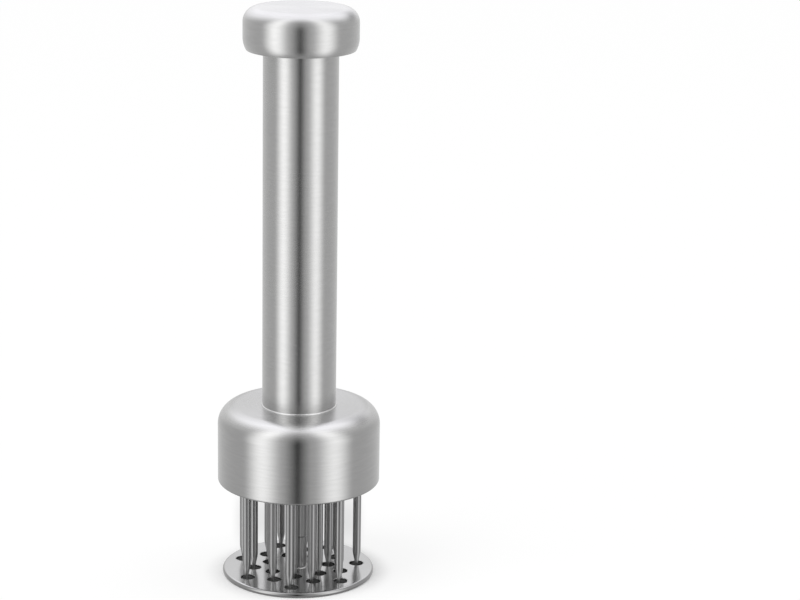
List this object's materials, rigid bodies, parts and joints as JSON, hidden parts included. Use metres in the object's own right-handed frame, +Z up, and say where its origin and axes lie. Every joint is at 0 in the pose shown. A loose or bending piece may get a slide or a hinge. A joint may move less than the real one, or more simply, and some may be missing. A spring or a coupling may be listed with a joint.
{
  "type": "meat tenderizer",
  "caption": "Plunger meat tenderizer in stainless steel: knob, long tube handle and bell holding round ground needles behind a spring-loaded drilled guard disc.",
  "frame": {"origin": "middle of the guard disc's flat underside, on the tool's axis", "axes": "+Z up the handle to the knob; the picture's camera looks along +Y, with +X to its right"},
  "size_m": [0.056, 0.056, 0.1991],
  "materials": {
    "brushed_steel": "brushed round the axis",
    "polished_steel": "polished",
    "needle_steel": "drawn, with a ground taper at the point",
    "weld_steel": "bright",
    "turned_steel": "turned",
    "spring_steel": "drawn wire"
  },
  "bodies": {
    "housing": {"handle_tube": "brushed_steel", "bell_housing": "brushed_steel", "knob_cap": "brushed_steel", "knob_plate": "brushed_steel", "neck_weld": "weld_steel", "upper_plug": "turned_steel", "lower_plug": "turned_steel", "knob_stud": "turned_steel", "needle_plate": "turned_steel", "backing_plate": "turned_steel", "guide_bush": "turned_steel", "return_spring": "spring_steel", "needle_01": "needle_steel", "needle_02": "needle_steel", "needle_03": "needle_steel", "needle_04": "needle_steel", "needle_05": "needle_steel", "needle_06": "needle_steel", "needle_07": "needle_steel", "needle_08": "needle_steel", "needle_09": "needle_steel", "needle_10": "needle_steel", "needle_11": "needle_steel", "needle_12": "needle_steel", "needle_13": "needle_steel", "needle_14": "needle_steel", "needle_15": "needle_steel", "needle_16": "needle_steel", "needle_17": "needle_steel", "needle_18": "needle_steel", "needle_19": "needle_steel", "needle_20": "needle_steel", "needle_21": "needle_steel"},
    "guard": {"guard_disc": "polished_steel", "disc_boss": "polished_steel", "boss_weld": "weld_steel", "guide_rod": "polished_steel", "spring_collar": "turned_steel", "collar_nut": "turned_steel"}
  },
  "joints": [
    {"name": "guard_slide", "type": "slide", "parent": "housing", "child": "guard", "axis": [0, 0, 1], "range_m": [0, 0.0344], "stiffness_N_per_m": 400, "springref_m": -0.03, "deforming": ["return_spring"]}
  ]
}
